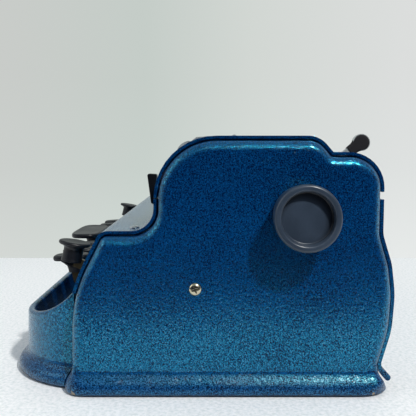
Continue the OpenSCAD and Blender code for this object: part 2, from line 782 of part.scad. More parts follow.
module head_block() {
    x0 = head_x - head_w / 2;
    color(steel) difference() {
        union() {
            block([x0, head_front, 77], [x0 + head_w, head_front + 12, jaw_z + jaw_gap]);
            block([x0, head_front + 11, 88], [x0 + head_w, head_back, jaw_z]);
        }
        for (a = [rail_low, rail_high]) rod_x(a, rail_r + fit, x0 - 1, x0 + head_w + 1);
        for (i = [0:5]) rod_z(pin_x(i), bar_y[i], pin_r + 0.2, 70, jaw_z + 1);
    }
}

// Two staggered columns, as in a braille cell
function pin_x(i) = head_x + (i < 3 ? -1.25 : 1.25);

module head_jaw() {
    x0 = head_x - head_w / 2;
    color(chrome) difference() {
        block([x0, head_front, jaw_z + jaw_gap], [x0 + head_w, head_back, jaw_z + jaw_gap + 7]);
        for (i = [0:5]) rod_z(pin_x(i), bar_y[i], pin_r + 0.3, jaw_z, jaw_z + jaw_gap + 3.2);
    }
}

// Steel stem through the front slot, with a flared finger tab
module head_lever() {
    front = brow_y - sheet_out;
    tab = [[front - 1.7, lever_z - 3, 1.2], [front - 1.7, split_front_z + 12.6, 0.8],
           [front - 8, split_front_z + 13, 1.2], [front - 5.3, lever_z - 3, 1.4]];
    color(black) union() {
        block([head_x - 1.5, front - 3, lever_z - lever_h / 2],
              [head_x + 1.5, head_front, lever_z + lever_h / 2]);
        slab(rounded(tab), head_x - 4.5, head_x + 4.5);
    }
}

module embossing_pin(i) {
    color(chrome) rod_z(pin_x(i), bar_y[i], pin_r, bar_z + bar_h + pin_gap, pin_top);
}

// ---- keys ----

// Dots 1 2 3 sit left of the space key, 4 5 6 right of it
function dot_key_x(i) = i < 3 ? -dot_x[i] : dot_x[i - 3];

module key_hub(x) {
    rod_x(key_axis, 8, x - 3.5, x + 3.5);
}

module key_bore(x) {
    rod_x(key_axis, key_shaft_r + fit, x - 10, x + 10);
}

// A dot key's lever; its rear arm lifts a bar that spans the head's whole travel
module dot_lever(i) {
    x = dot_key_x(i);
    tail = [key_axis, [15, tail_z + 1.5], [bar_y[i], tail_z]];
    color(steel) difference() {
        union() {
            slab(band(dot_path, arm_w), x - lever_t / 2, x + lever_t / 2);
            slab(band(tail, 5), x - lever_t / 2, x + lever_t / 2);
            block([x - lever_t / 2, bar_y[i] - bar_t / 2, tail_z - 2],
                  [x + lever_t / 2, bar_y[i] + bar_t / 2, bar_z + 1]);
            block([-bar_half, bar_y[i] - bar_t / 2, bar_z],
                  [bar_half, bar_y[i] + bar_t / 2, bar_z + bar_h]);
            key_hub(x);
        }
        key_bore(x);
    }
}

module plain_lever(x, path) {
    tail = [key_axis, [15, tail_z + 1.5], [25, tail_z]];
    color(steel) difference() {
        union() {
            slab(band(path, arm_w), x - lever_t / 2, x + lever_t / 2);
            slab(band(tail, 5), x - lever_t / 2, x + lever_t / 2);
            key_hub(x);
        }
        key_bore(x);
    }
}

// A flat cap with a rounded edge over a root that narrows to the lever
module pad_cap(x, front, length, width, top, r, root_y, tilt) {
    steps = [[-cap_t, -0.9], [-cap_t + 0.7, 0], [-0.9, 0], [-0.25, -0.5], [0, -1.3]];
    back = front + length;
    difference() {
        union() {
            translate([0, root_y, top]) rotate([tilt, 0, 0]) loft([for (s = steps)
                at_z(box_ring(x - width / 2 - s[1], x + width / 2 + s[1],
                              front - root_y - s[1], back - root_y + s[1], r + s[1]), s[0])]);
            loft([
                at_z(box_ring(x - 3.2, x + 3.2, root_y - 4.4, root_y + 4.4, 2), top - cap_t - 8),
                at_z(box_ring(x - 3.8, x + 3.8, root_y - 5.4, root_y + 4.8, 2), top - cap_t - 4),
                at_z(box_ring(x - 6, x + 6, front + 3.5, root_y + 7, 3), top - cap_t + 0.1)]);
        }
        children();
    }
}

module lever_pocket(x, path) {
    slab(band(path, arm_w), x - lever_t / 2, x + lever_t / 2);
}

module dot_cap(i) {
    x = dot_key_x(i);
    color(black) pad_cap(x, dot_front_y, dot_cap_l, dot_cap_w, dot_cap_h + 0.8, 7, -79.4, dot_key_tilt)
        lever_pocket(x, dot_path);
}

module space_cap() {
    color(black) pad_cap(0, space_front_y, space_l, space_w, space_h, 10.5, -87, 0)
        lever_pocket(0, space_path);
}

// A disc on a pedestal, tilted back
module round_cap(side) {
    x = side * round_x;
    h = 12.6;
    color(black) difference() {
        translate([x, round_top[0], round_top[1]]) rotate([-round_key_tilt, 0, 0]) rotate_extrude() polygon([
            [0, -h], [pedestal_r + 0.5, -h], [pedestal_r + 0.6, -h + 1],
            [pedestal_r, -4.4], [pedestal_r + 0.8, -2.9],
            [round_key_r - 0.9, -2.4], [round_key_r, -1.7], [round_key_r, -0.9],
            [round_key_r - 0.8, 0], [0, -0.5]]);
        lever_pocket(x, round_path);
    }
}

// ---- nodes ----

color(blue) side_cover();  // right_side_cover
color(blue) mirror([1, 0, 0]) side_cover();  // left_side_cover
front_cover();
top_cover();
rear_cover();
base_pan();
bottom_plate();
rubber_feet();
side_screws();
ledge_screws();
bottom_screws();
frame_plate();  // right_frame_plate
mirror([1, 0, 0]) frame_plate();  // left_frame_plate
tie_rods();
key_shaft();
key_springs();
head_rails();
head_rack();
margin_bar();
bell();
bell_hammer();
spring_drum();
paper_guide();
handle_brackets();
handle();
feed_roller();
ratchet_wheel();
feed_knob();  // right_feed_knob
mirror([1, 0, 0]) feed_knob();  // left_feed_knob
release_lever();  // right_release_lever
mirror([1, 0, 0]) release_lever();  // left_release_lever
margin_stop(stop_x);  // right_margin_stop
margin_stop(-stop_x);  // left_margin_stop
head_block();
head_jaw();
head_lever();
embossing_pin(0);  // embossing_pin_1
embossing_pin(1);  // embossing_pin_2
embossing_pin(2);  // embossing_pin_3
embossing_pin(3);  // embossing_pin_4
embossing_pin(4);  // embossing_pin_5
embossing_pin(5);  // embossing_pin_6
dot_lever(0);  // key_1_lever
dot_cap(0);  // key_1_cap
dot_lever(1);  // key_2_lever
dot_cap(1);  // key_2_cap
dot_lever(2);  // key_3_lever
dot_cap(2);  // key_3_cap
dot_lever(3);  // key_4_lever
dot_cap(3);  // key_4_cap
dot_lever(4);  // key_5_lever
dot_cap(4);  // key_5_cap
dot_lever(5);  // key_6_lever
dot_cap(5);  // key_6_cap
plain_lever(0, space_path);  // space_key_lever
space_cap();  // space_key_cap
plain_lever(round_x, round_path);  // backspace_key_lever
round_cap(1);  // backspace_key_cap
plain_lever(-round_x, round_path);  // line_space_key_lever
round_cap(-1);  // line_space_key_cap
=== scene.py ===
"""Braille writer: dressed pieces, materials, lights and the camera, on the CAD frame.

Lengths in this file are millimetres until they reach a mesh, which is in metres.
"""

import json
import math

import bmesh
import bpy
from mathutils import Matrix, Vector

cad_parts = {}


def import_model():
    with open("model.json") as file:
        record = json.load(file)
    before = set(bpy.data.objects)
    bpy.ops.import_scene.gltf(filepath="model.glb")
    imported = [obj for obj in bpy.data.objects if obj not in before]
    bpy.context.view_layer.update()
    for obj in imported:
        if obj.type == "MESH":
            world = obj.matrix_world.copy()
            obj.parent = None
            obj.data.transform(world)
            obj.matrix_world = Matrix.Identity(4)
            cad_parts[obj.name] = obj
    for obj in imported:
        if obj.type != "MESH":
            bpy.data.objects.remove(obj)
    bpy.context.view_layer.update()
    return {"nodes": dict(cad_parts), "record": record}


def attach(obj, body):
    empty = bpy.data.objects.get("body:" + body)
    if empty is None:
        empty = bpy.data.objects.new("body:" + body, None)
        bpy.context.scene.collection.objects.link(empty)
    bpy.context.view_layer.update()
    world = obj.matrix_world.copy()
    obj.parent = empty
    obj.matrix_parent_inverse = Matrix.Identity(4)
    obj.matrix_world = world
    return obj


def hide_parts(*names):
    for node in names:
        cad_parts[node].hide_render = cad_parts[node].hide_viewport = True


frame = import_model()
MM = 0.001

# ---------------------------------------------------------------- sizes, as in the CAD

FACE_X = 175.0
RIM_X = 158.0
SHEET_X = 168.0
FLOOR_Z = 7.0
LIP_R = 52.0
LIP_T = 4.5
LIP_H = 38.5
SWEEP_R = 50.0
CORNER = (111.0, -57.0)         # centre of the lip's corner, seen from above
LIP_FRONT = CORNER[1] - LIP_R
ROLLER = (63.1, 103.0)          # axis of the feed roller, (y, z)
RELEASE = (78.6, 125.0)         # axis of the release levers, (y, z)
KNOB_X = 176.5
DOT_X = (53.0, 82.0, 111.0)
ROUND_X = 146.0
CASE_MIDDLE = (0, 20, 70)
COVER_T = 3.0                   # wall of a side cover
EDGE_R = 6.0                    # rounded edge between its face and its rim

# Outline of a side cover, (y, z, radius), anticlockwise from the front foot
OUTLINE = [
    (-69.5, 1.6, 2), (105.8, 1.6, 2), (105.8, 12.7, 4), (113.2, 36.1, 48), (115.1, 56.1, 58),
    (113.4, 73.2, 29), (108.3, 90.7, 18), (109.5, 136.1, 17.6), (80.9, 136.3, 3.2), (72.8, 145.8, 11.8),
    (-19.7, 145.8, 34), (-19.7, 90.2, 15.9), (-52.1, 90.2, 4.5), (-69.5, 55.5, 80),
]
FRONT_Y = -69.5
FLARE = (116.9, 15.0, 9.9)      # centre and radius of the foot's tail
FLARE_LOW = -6.62               # where its arc ends, below that centre

# The skirt's outline: height, and share of its full reach
SKIRT = [(1.0, 0.60), (1.12, 0.74), (1.45, 0.86), (2.0, 0.94), (2.8, 0.985), (3.6, 1.0), (4.4, 0.99),
         (5.2, 0.955), (6.0, 0.90), (6.9, 0.82), (7.8, 0.71), (8.7, 0.59), (9.6, 0.46), (10.4, 0.34),
         (11.2, 0.23), (12.0, 0.13), (12.7, 0.06), (13.4, 0.015), (14.6, -0.03), (16.5, -0.07)]
SKIRT_OUT, TOE_OUT = 4.2, 4.6


def unit(v):
    length = math.hypot(*v)
    return (v[0] / length, v[1] / length)


def grown(corners, d):
    """An outline with every corner moved outward by d."""
    out = []
    for i, (y, z, r) in enumerate(corners):
        before, after = corners[i - 1], corners[(i + 1) % len(corners)]
        u = unit((y - before[0], z - before[1]))
        v = unit((after[0] - y, after[1] - z))
        n, m = (u[1], -u[0]), (v[1], -v[0])
        k = d / (1 + n[0] * m[0] + n[1] * m[1])
        convex = u[0] * v[1] - u[1] * v[0] > 0
        out.append((y + (n[0] + m[0]) * k, z + (n[1] + m[1]) * k, max(r + (d if convex else -d), 0.4)))
    return out


def rounded(corners, steps=14):
    """The points of an outline whose corners are rounded to their radii."""
    out = []
    for i, (y, z, r) in enumerate(corners):
        before, after = corners[i - 1], corners[(i + 1) % len(corners)]
        u = unit((before[0] - y, before[1] - z))
        v = unit((after[0] - y, after[1] - z))
        half = math.acos(max(-1, min(1, u[0] * v[0] + u[1] * v[1]))) / 2
        b = unit((u[0] + v[0], u[1] + v[1]))
        cy, cz = y + b[0] * r / math.sin(half), z + b[1] * r / math.sin(half)
        sy, sz = y + u[0] * r / math.tan(half) - cy, z + u[1] * r / math.tan(half) - cz
        sweep = (math.pi - 2 * half) * (1 if u[0] * v[1] - u[1] * v[0] < 0 else -1)
        for k in range(steps + 1):
            c, s = math.cos(sweep * k / steps), math.sin(sweep * k / steps)
            out.append((cy + sy * c - sz * s, cz + sy * s + sz * c))
    return out


# ---------------------------------------------------------------- materials


def rgb(r, g, b):
    """8-bit display values as a linear colour."""
    def lin(c):
        c /= 255
        return c / 12.92 if c <= 0.04045 else ((c + 0.055) / 1.055) ** 2.4
    return (lin(r), lin(g), lin(b), 1.0)


class Shader:
    """A node tree round one Principled shader."""

    def __init__(self, name, colour, roughness=0.5, metallic=0.0, **values):
        self.mat = bpy.data.materials.new(name)
        self.mat.use_nodes = True
        self.mat.diffuse_color = colour
        self.tree = self.mat.node_tree
        self.tree.nodes.clear()
        self.out = self.tree.nodes.new("ShaderNodeOutputMaterial")
        self.bsdf = self.tree.nodes.new("ShaderNodeBsdfPrincipled")
        self.tree.links.new(self.bsdf.outputs[0], self.out.inputs[0])
        self.bsdf.inputs["Base Color"].default_value = colour
        self.bsdf.inputs["Roughness"].default_value = roughness
        self.bsdf.inputs["Metallic"].default_value = metallic
        for key, value in values.items():
            self.bsdf.inputs[key.replace("_", " ")].default_value = value
        self.coords = self.add("ShaderNodeTexCoord").outputs["Object"]

    def add(self, kind, inputs=None, **props):
        node = self.tree.nodes.new(kind)
        for key, value in props.items():
            setattr(node, key, value)
        for key, value in (inputs or {}).items():
            if isinstance(value, bpy.types.NodeSocket):
                self.tree.links.new(value, node.inputs[key])
            else:
                node.inputs[key].default_value = value
        return node

    def noise(self, scale, detail=2.0, rough=0.5, distortion=0.0, vector=None):
        return self.add("ShaderNodeTexNoise", {
            "Vector": vector or self.coords, "Scale": scale, "Detail": detail,
            "Roughness": rough, "Distortion": distortion}).outputs["Fac"]

    def cells(self, scale, feature="F1", vector=None, smooth=None):
        inputs = {"Vector": vector or self.coords, "Scale": scale}
        if smooth is not None:
            inputs["Smoothness"] = smooth
        return self.add("ShaderNodeTexVoronoi", inputs, feature=feature).outputs["Distance"]

    def stretched(self, x, y, z):
        return self.add("ShaderNodeMapping", {"Vector": self.coords, "Scale": (x, y, z)}).outputs[0]

    def ramp(self, value, *stops):
        node = self.add("ShaderNodeValToRGB", {"Fac": value})
        ramp = node.color_ramp
        while len(ramp.elements) < len(stops):
            ramp.elements.new(0.5)
        for element, (place, colour) in zip(ramp.elements, stops):
            element.position = place
            element.color = colour if not isinstance(colour, (int, float)) else (colour,) * 3 + (1,)
        return node.outputs["Color"]

    def math(self, operation, a, b=0.0, clamp=False):
        return self.add("ShaderNodeMath", {0: a, 1: b}, operation=operation, use_clamp=clamp).outputs[0]

    def distance(self, vector, point):
        """How far a place is from a point that is given in millimetres."""
        return self.add("ShaderNodeVectorMath", {0: vector, 1: tuple(v * MM for v in point)},
                        operation="DISTANCE").outputs["Value"]

    def mix(self, amount, a, b):
        return self.add("ShaderNodeMix", {0: amount, 6: a, 7: b}, data_type="RGBA").outputs[2]

    def span(self, value, low, high):
        """A value from 0 to 1 spread between two others."""
        return self.add("ShaderNodeMapRange", {"Value": value, "To Min": low, "To Max": high}).outputs[0]

    def set(self, name, value):
        self.tree.links.new(value, self.bsdf.inputs[name])

    def bump(self, height, strength, distance_mm, socket="Normal", under=None):
        inputs = {"Height": height, "Strength": strength, "Distance": distance_mm * MM}
        if under is not None:
            inputs["Normal"] = under
        normal = self.add("ShaderNodeBump", inputs).outputs[0]
        self.set(socket, normal)
        return normal


def make_hammertone(name, chips=()):
    """Stoved hammer enamel: a metallic teal blue with fine dark flecks, dimpled like beaten metal.

    chips are worn spots at the foot of the right side cover: (y, z, radius).
    """
    s = Shader(name, rgb(2, 34, 82), 0.18, 0.0, IOR=2.6, Specular_Tint=(0.02, 0.54, 0.9, 1.0),
               Coat_Weight=0.34, Coat_Roughness=0.07, Coat_IOR=1.5)
    wander = s.noise(1500, 1.0, 0.5)
    warped = s.add("ShaderNodeVectorMath", {0: s.coords, 1: s.add("ShaderNodeVectorMath", {
        0: s.add("ShaderNodeCombineXYZ", {"X": wander, "Y": s.noise(1300, 1.0), "Z": wander}).outputs[0],
        1: (0.0006, 0.0006, 0.0006)}, operation="MULTIPLY").outputs[0]}, operation="ADD").outputs[0]
    flecks = s.noise(1450, 2.5, 0.62, 0.5, warped)
    dents = s.noise(640, 1.5, 0.5, 0.3)
    cloud = s.noise(24, 2.0)
    tone = s.math("ADD", flecks, s.math("MULTIPLY", s.math("SUBTRACT", cloud, 0.5), 0.09))
    tone = s.math("ADD", tone, s.math("MULTIPLY", s.math("SUBTRACT", dents, 0.5), 0.16))
    colour = s.ramp(tone, (0.41, rgb(0, 4, 24)), (0.47, rgb(1, 38, 84)), (0.53, rgb(2, 57, 112)),
                    (0.62, rgb(3, 73, 133)), (0.74, rgb(8, 98, 162)))
    for y, z, radius in chips:
        away = s.distance(s.coords, (FACE_X + 3, y, z))
        ragged = s.math("ADD", away, s.math("MULTIPLY", s.noise(420, 3.0), 0.0035))
        chip = s.math("LESS_THAN", ragged, radius * MM)
        colour = s.mix(chip, colour, rgb(150, 128, 104))
    s.set("Base Color", colour)
    gloss = s.ramp(tone, (0.42, (0.0, 0.03, 0.12, 1.0)), (0.50, (0.01, 0.58, 0.94, 1.0)),
                   (0.58, (0.03, 0.84, 1.0, 1.0)), (0.70, (0.55, 1.0, 1.0, 1.0)))
    # The foot is duller and more coarsely beaten than the face
    height_z = s.add("ShaderNodeSeparateXYZ", {0: s.coords}).outputs["Z"]
    foot = s.ramp(s.math("DIVIDE", height_z, 40 * MM), (0.28, 1.0), (0.38, 0.0))
    dull = s.ramp(tone, (0.44, (0.0, 0.02, 0.05, 1.0)), (0.52, (0.01, 0.26, 0.30, 1.0)),
                  (0.62, (0.22, 0.58, 0.62, 1.0)))
    s.set("Specular Tint", s.mix(foot, gloss, dull))
    s.set("Roughness", s.math("ADD", s.ramp(flecks, (0.40, 0.36), (0.50, 0.12), (0.8, 0.09)),
                              s.math("MULTIPLY", foot, 0.2)))
    height = s.math("ADD", s.ramp(flecks, (0.38, 0.0), (0.52, 0.2), (0.8, 0.26)), dents)
    low = s.bump(s.noise(14, 1.0), 0.25, 1.0)
    s.bump(height, 0.8, 0.19, "Normal", low)
    s.bump(height, 0.9, 0.22, "Coat Normal", low)
    return s.mat


def make_plastic(name, colour, roughness=0.4, speck=0.25, specular=0.5, painted_rim_shadow=None):
    """A moulding, a little worn; the last argument paints a shadow ring round the feed shaft, the shadow that
    the knob's rim casts into its dish: two radii, where it ends, its shift.
    """
    s = Shader(name, colour, roughness, 0.0, Specular_IOR_Level=specular)
    fine = s.noise(2600, 2.0, 0.6)
    worn = s.noise(60, 4.0, 0.6)
    pale = tuple(min(1.0, c * 2.2) for c in colour[:3]) + (1.0,)
    skin = s.mix(s.span(s.ramp(worn, (0.45, 0.0), (0.75, 1.0)), 0.0, speck), colour, pale)
    if painted_rim_shadow:
        split = s.add("ShaderNodeSeparateXYZ", {0: s.coords}).outputs
        flat = s.add("ShaderNodeCombineXYZ", {"Y": split["Y"], "Z": split["Z"]}).outputs[0]
        inner, outer, rim, (dy, dz) = painted_rim_shadow
        off, centred = (s.distance(flat, (0, ROLLER[0] + y, ROLLER[1] + z)) for y, z in ((dy, dz), (0, 0)))
        grime_and_painted_shadow = s.ramp(s.math("DIVIDE", off, outer * MM), (inner / outer, 0.0), (1.0, 0.9))
        # Painted shadow: a dark ring on the dish floor beside the rim, shifted so it is darkest on the side
        # away from the lamp
        skin = s.mix(s.math("MULTIPLY", grime_and_painted_shadow, s.math("LESS_THAN", centred, rim * MM)), skin, rgb(8, 9, 14))
    s.set("Base Color", skin)
    s.set("Roughness", s.span(worn, roughness - 0.08, roughness + 0.12))
    s.bump(fine, 0.12, 0.05)
    return s.mat


def make_metal(name, colour, roughness, grain=(1, 1, 1), streak=0.12, metallic=1.0, grime_and_painted_shadow=None):
    s = Shader(name, colour, roughness, metallic)
    lines = s.noise(900, 3.0, 0.7, 0.0, s.stretched(*grain))
    spots = s.noise(45, 4.0, 0.65)
    dull = s.math("ADD", s.math("MULTIPLY", lines, streak), s.math("MULTIPLY", spots, streak))
    s.set("Roughness", s.math("ADD", dull, roughness - streak))
    dark = grime_and_painted_shadow or tuple(c * 0.55 for c in colour[:3]) + (1.0,)
    s.set("Base Color", s.mix(s.ramp(spots, (0.50, 0.0), (0.78, 0.8)), colour, dark))
    s.bump(lines, 0.10, 0.03)
    return s.mat


ENAMEL = make_hammertone("hammertone")
ENAMEL_SIDE = make_hammertone("hammertone_side", chips=((-68.0, 1.6, 3.4), (103.0, 1.4, 3.2)))
CAPS = make_plastic("key_cap_plastic", rgb(6, 9, 18), 0.40, specular=0.45)
# The knob's dish gets a painted shadow ring from its rim
KNOB = make_plastic("knob_plastic", rgb(50, 61, 75), 0.30, 0.3, 0.5, painted_rim_shadow=(11.0, 15.2, 14.4, (-1.8, -2.4)))
RUBBER = make_plastic("black_rubber", rgb(26, 24, 27), 0.72, 0.35, specular=0.3)
ROLLER_RUBBER = make_plastic("roller_rubber", rgb(38, 38, 40), 0.66, 0.3)
BLACK_PAINT = make_plastic("black_paint", rgb(12, 14, 19), 0.34, specular=0.4)
CHROME = make_metal("chrome", rgb(214, 216, 218), 0.12, streak=0.06, grime_and_painted_shadow=rgb(150, 150, 150))
HANDLE = make_metal("worn_chrome", rgb(206, 210, 208), 0.26, streak=0.1, metallic=0.45,
                    grime_and_painted_shadow=rgb(120, 124, 124))
SCREW = make_metal("nickelled_brass", rgb(206, 198, 172), 0.22, streak=0.08, grime_and_painted_shadow=rgb(96, 84, 62))
STEEL = make_metal("ground_steel", rgb(160, 160, 158), 0.30, (0.04, 1, 1))
LEVER_STEEL = make_metal("lever_steel", rgb(84, 76, 60), 0.42, (1, 0.1, 1), 0.16)
BRASS = make_metal("drum_brass", rgb(150, 122, 72), 0.28, streak=0.1)

# ---------------------------------------------------------------- making pieces


def body_of(node):
    """The body that a CAD node belongs to."""
    for body, members in frame["record"]["behaviour"]["bodies"].items():
        if node in members:
            return body


def piece(name, mesh, material, *nodes, body=None, bevel=0.0, segments=2, crease=38, weighted=True):
    """A finished piece: smooth where it is round, its sharp edges broken by a small bevel."""
    obj = bpy.data.objects.new(name, mesh)
    bpy.context.scene.collection.objects.link(obj)
    if not mesh.materials:
        mesh.materials.append(material)
    mesh.polygons.foreach_set("use_smooth", [True] * len(mesh.polygons))
    mesh.set_sharp_from_angle(angle=math.radians(crease))
    if bevel:
        mod = obj.modifiers.new("edges", "BEVEL")
        mod.width, mod.segments = bevel * MM, segments
        mod.limit_method, mod.angle_limit = "ANGLE", math.radians(crease)
        mod.use_clamp_overlap = True
        mod.harden_normals = False
    if weighted:
        mod = obj.modifiers.new("normals", "WEIGHTED_NORMAL")
        mod.keep_sharp = not bevel
        mod.weight = 60
    if nodes:
        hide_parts(*nodes)
    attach(obj, body or body_of(nodes[0]))
    return obj


def to_mesh(name, bm):
    bmesh.ops.recalc_face_normals(bm, faces=bm.faces)
    mesh = bpy.data.meshes.new(name)
    bm.to_mesh(mesh)
    bm.free()
    return mesh


def undercut_ends(bm, end_x, width):
    """Cuts away the inner edge at both ends of a sheet, which leaves a dark line under it."""
    middle = Vector(CASE_MIDDLE) * MM
    inner = []
    for edge in bm.edges:
        if len(edge.link_faces) == 2 and all(abs(abs(v.co.x) - end_x * MM) < 0.02 * MM for v in edge.verts):
            wall = min(edge.link_faces, key=lambda f: abs(f.normal.x))
            towards = middle - (edge.verts[0].co + edge.verts[1].co) / 2
            if abs(wall.normal.x) < 0.5 and wall.normal.dot(towards) > 0:
                inner.append(edge)
    bmesh.ops.bevel(bm, geom=inner, offset=width * MM, segments=1, profile=0.5, affect="EDGES",
                    clamp_overlap=True)


def dressed(node, material, bevel=0.25, name=None, pick=None, undercut=None, **more):
    """The CAD node's own shape with broken edges; pick(face centre) chooses a second material."""
    bm = bmesh.new()
    bm.from_mesh(frame["nodes"][node].data)
    bmesh.ops.remove_doubles(bm, verts=bm.verts, dist=2e-6)
    bmesh.ops.dissolve_degenerate(bm, dist=1e-6, edges=bm.edges)
    bmesh.ops.dissolve_limit(bm, angle_limit=math.radians(0.6), verts=bm.verts, edges=bm.edges)
    if undercut:
        undercut_ends(bm, *undercut)
    for face in bm.faces:
        face.material_index = pick[0](face.calc_center_median() / MM) if pick else 0
    mesh = to_mesh(name or node, bm)
    mesh.materials.clear()
    mesh.materials.append(material)
    for extra in (pick[1:] if pick else ()):
        mesh.materials.append(extra)
    return piece(name or node + "_finished", mesh, material, node, bevel=bevel, **more)


def lofted(bm, rings, caps=(True, True), wrap=True):
    """Skins rings of equally many points, given in millimetres."""
    rows = [[bm.verts.new(Vector(p) * MM) for p in ring] for ring in rings]
    count = len(rows[0])
    for low, high in zip(rows, rows[1:]):
        for i in range(count if wrap else count - 1):
            bm.faces.new((low[i], low[(i + 1) % count], high[(i + 1) % count], high[i]))
    if caps[0]:
        bm.faces.new(rows[0])
    if caps[1]:
        bm.faces.new(rows[-1])
    return rows


def lathed(bm, profile, place, steps=72):
    """Turns (radius, height) points about a local +Z axis, then places them."""
    rings, tips = [], {}
    for k, (r, h) in enumerate(profile):
        if r < 1e-6:
            tips[k] = bm.verts.new(place @ Vector((0, 0, h)) * MM)
            rings.append(None)
        else:
            rings.append([bm.verts.new((place @ Vector((r * math.cos(a), r * math.sin(a), h))) * MM)
                          for a in (2 * math.pi * i / steps for i in range(steps))])
    for k in range(len(profile) - 1):
        a, b = rings[k], rings[k + 1]
        for i in range(steps):
            j = (i + 1) % steps
            if a and b:
                bm.faces.new((a[i], a[j], b[j], b[i]))
            elif b:
                bm.faces.new((tips[k], b[j], b[i]))
            elif a:
                bm.faces.new((a[i], a[j], tips[k + 1]))


def at_x(points, x):
    return [(x, y, z) for y, z in points]


def rounded_box(x0, x1, y0, y1, r, z, steps=8):
    corners = [(x0, y0, r), (x1, y0, r), (x1, y1, r), (x0, y1, r)]
    return [(x, y, z) for x, y in rounded(corners, steps)]


def mirror(bm):
    bmesh.ops.scale(bm, vec=(-1, 1, 1), verts=bm.verts)


def side_name(side):
    return "right" if side > 0 else "left"


# ---------------------------------------------------------------- side covers


def skirt_ring(z, share, steps=10):
    """The skirt seen from above at one height; its tail follows the flare."""
    cy, cz, r = FLARE
    low = max(FLARE_LOW, z - cz)
    rear = cy - math.sqrt(r * r - low * low) + 0.64 * (low - (z - cz))
    x, y, reach = FACE_X + SKIRT_OUT * share - 0.05, FRONT_Y - TOE_OUT * share, max(share, 0)
    turn = min(max(17.5 - 2.1 * max(z - 2, 0), 5.0), x - RIM_X - 2.2)
    plan = [(RIM_X + 0.3, y, 1.5), (x, y, 4 + 9 * reach), (x, rear, turn), (RIM_X + 0.3, rear, 1.5)]
    return [(a, b, z) for a, b in rounded(plan, steps)]


def side_cover(side):
    bm = bmesh.new()
    inner = rounded(grown(OUTLINE, -COVER_T))
    rings = [at_x(inner, FACE_X - COVER_T), at_x(inner, RIM_X + 0.5),
             at_x(rounded(grown(OUTLINE, -2.6)), RIM_X + 0.1), at_x(rounded(grown(OUTLINE, -2.1)), RIM_X),
             at_x(rounded(grown(OUTLINE, -0.7)), RIM_X), at_x(rounded(grown(OUTLINE, -0.2)), RIM_X + 0.15),
             at_x(rounded(OUTLINE), RIM_X + 0.7)]
    for k in range(13):
        a = math.pi / 2 * k / 12
        d = -EDGE_R * (1 - math.cos(a))
        rings.append(at_x(rounded(grown(OUTLINE, d)), FACE_X - EDGE_R * (1 - math.sin(a))))
    lofted(bm, rings)
    # The skirt: an apron along the foot that runs up into the face in a hollow
    lofted(bm, [skirt_ring(z, share) for z, share in SKIRT])
    if side < 0:
        mirror(bm)
    name = side_name(side) + "_side_cover"
    return piece(name + "_casting", to_mesh(name, bm), ENAMEL_SIDE, name, crease=60)


for hand in (1, -1):
    side_cover(hand)

for cover in ("front_cover", "top_cover", "rear_cover"):
    dressed(cover, ENAMEL, 0.6, segments=3, name=cover + "_sheet", undercut=(SHEET_X, 1.2))

def gap_shade_strip(side):
    """A dark strip between a side cover's top and the sheets, from the brow to the rear deck: painted shade
    that closes the gap, so that it reads as the shade inside the case.
    """
    x0, x1, lowest_z, rear_y = 160, 164, 118, 104
    low, high = rounded(grown(OUTLINE, 0.03)), rounded(grown(OUTLINE, 0.85))
    bm = bmesh.new()
    lofted(bm, [[(x0, *a), (x0, *b), (x1, *b), (x1, *a)]
                for a, b in zip(low, high) if a[1] > lowest_z and a[0] < rear_y])
    if side < 0:
        mirror(bm)
    name = side_name(side) + "_gap_shade_strip"
    return piece(name, to_mesh(name, bm), RUBBER, body=body_of("top_cover"), crease=60)


for hand in (1, -1):
    gap_shade_strip(hand)

# ---------------------------------------------------------------- base pan with the front lip


def lip_stations(last_y, steps=30, radius=LIP_R):
    """(x, y, nx, ny) along the lip's plan, right to left, out to where that radius reaches last_y."""
    cx, cy = CORNER
    end = math.asin((last_y - cy) / radius)
    right = [end + (-math.pi / 2 - end) * k / steps for k in range(steps + 1)]
    out = [(cx, cy, math.cos(a), math.sin(a)) for a in right]
    out += [(x, cy, 0.0, -1.0) for x in (80, 50, 20, -20, -50, -80)]
    out += [(-cx, cy, -math.cos(a), math.sin(a)) for a in reversed(right)]
    return out


def rim_z(y):
    return LIP_H + SWEEP_R - math.sqrt(max(SWEEP_R ** 2 - (max(y, LIP_FRONT) - LIP_FRONT) ** 2, 0))


def flange_end(z):
    """Angle round the lip's corner at which the flange meets the skirt's toe, 0.8 mm off it."""
    share = 0.0
    for (z0, s0), (z1, s1) in zip(SKIRT, SKIRT[1:]):
        if z0 <= z <= z1:
            share = s0 + (s1 - s0) * (z - z0) / (z1 - z0)
    if z > 13:
        share = 0.0
    return FRONT_Y - TOE_OUT * max(share, 0.0) - 0.8


